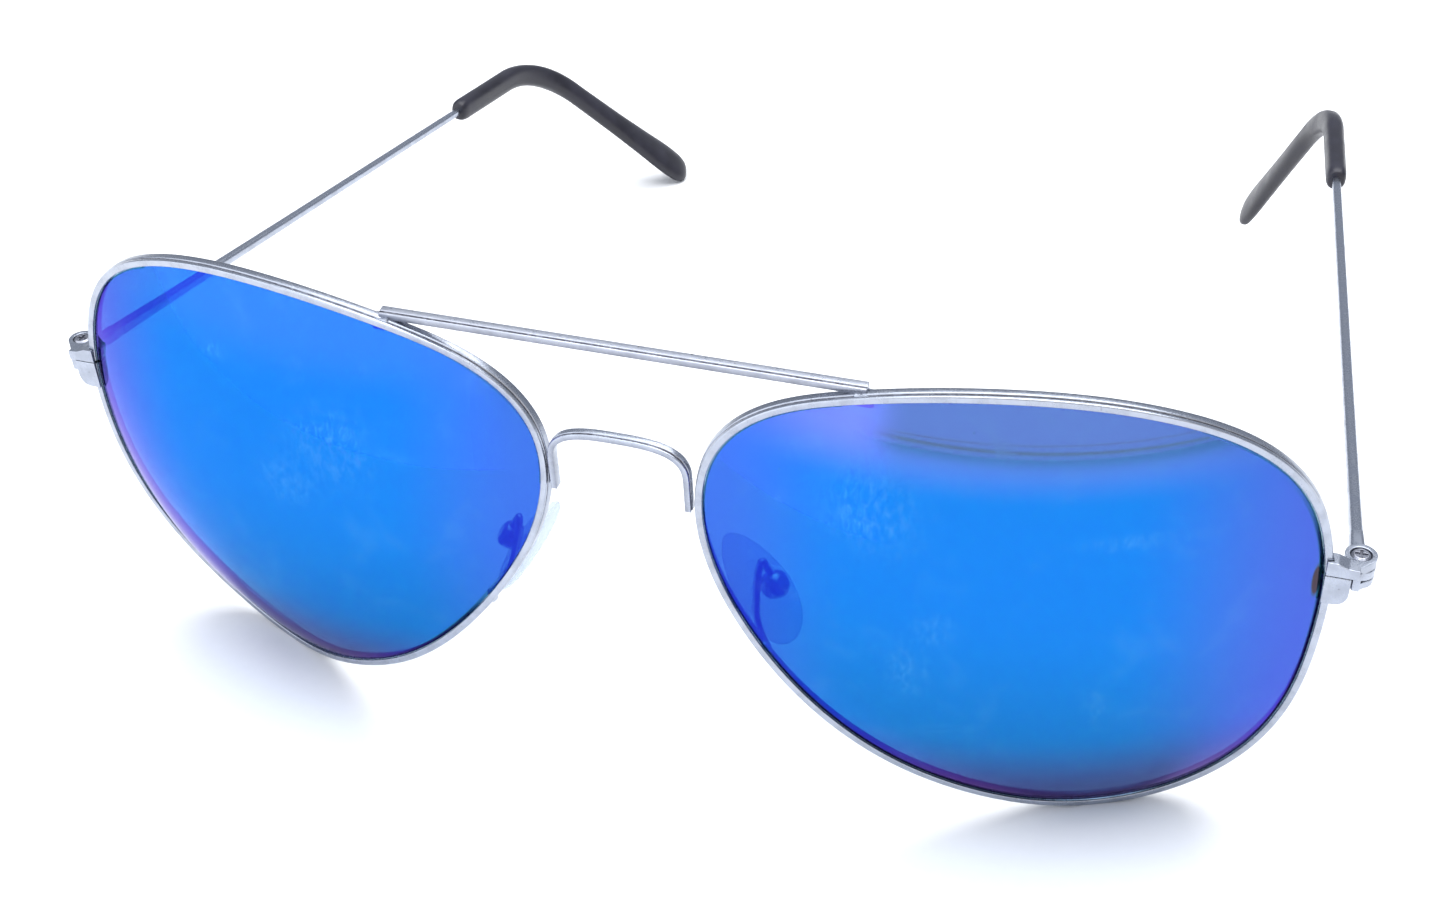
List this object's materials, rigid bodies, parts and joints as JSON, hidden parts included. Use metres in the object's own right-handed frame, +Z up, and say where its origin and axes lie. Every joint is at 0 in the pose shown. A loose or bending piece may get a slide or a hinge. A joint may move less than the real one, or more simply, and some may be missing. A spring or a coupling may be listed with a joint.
{
  "type": "sunglasses",
  "caption": "Aviator sunglasses with thin wire rims, large teardrop mirrored lenses, a straight brow bar, an arched bridge, rocking nose pads and folding wire temples with curved plastic tips.",
  "frame": {"origin": "on the table, in the middle of the box round the opened sunglasses as they stand on both rims and the right temple tip", "axes": "+X to the wearer's left, along the front; +Y to the back, along the opened temples, which is the longest way by a little; +Z up from the table. The front leans about 6.6 degrees forward, and the left tip hangs 4 mm above the table, because the pair is a little bent."},
  "size_m": [0.1396, 0.1406, 0.0554],
  "materials": {
    "satin_silver": "satin silver plating",
    "screw_steel": "turned steel",
    "blue_mirror_lens": "grey tint with a blue mirror coat, violet towards the edges",
    "clear_pad": "clear, slightly soft",
    "black_plastic": "satin black"
  },
  "bodies": {
    "front": {"rim_left": "satin_silver", "rim_right": "satin_silver", "lens_left": "blue_mirror_lens", "lens_right": "blue_mirror_lens", "brow_bar": "satin_silver", "bridge": "satin_silver", "end_piece_left": "satin_silver", "end_piece_right": "satin_silver", "closing_block_left": "satin_silver", "closing_block_right": "satin_silver", "rim_screw_left": "screw_steel", "rim_screw_right": "screw_steel", "hinge_screw_left": "screw_steel", "hinge_screw_right": "screw_steel", "pad_arm_left": "satin_silver", "pad_arm_right": "satin_silver", "pad_box_left": "satin_silver", "pad_box_right": "satin_silver", "pad_screw_left": "screw_steel", "pad_screw_right": "screw_steel"},
    "temple_left": {"temple_hinge_left": "satin_silver", "temple_left": "satin_silver", "temple_tip_left": "black_plastic"},
    "temple_right": {"temple_hinge_right": "satin_silver", "temple_right": "satin_silver", "temple_tip_right": "black_plastic"},
    "nose_pad_left": {"nose_pad_left": "clear_pad"},
    "nose_pad_right": {"nose_pad_right": "clear_pad"}
  },
  "joints": [
    {"name": "fold_left", "type": "hinge", "parent": "front", "child": "temple_left", "pos_m": [0.0683, -0.05414, 0.03487], "axis": [0, -0.0363, 0.9993], "range_deg": [0, 76]},
    {"name": "fold_right", "type": "hinge", "parent": "front", "child": "temple_right", "pos_m": [-0.0683, -0.05414, 0.03487], "axis": [0, 0.0363, -0.9993], "range_deg": [0, 75]},
    {"name": "pad_rock_left", "type": "hinge", "parent": "front", "child": "nose_pad_left", "pos_m": [0.0142, -0.06259, 0.02695], "axis": [0.2285, 0.9648, 0.1303], "range_deg": [-10, 10]},
    {"name": "pad_rock_right", "type": "hinge", "parent": "front", "child": "nose_pad_right", "pos_m": [-0.0142, -0.06259, 0.02695], "axis": [0.2285, -0.9648, -0.1303], "range_deg": [-10, 10]}
  ]
}
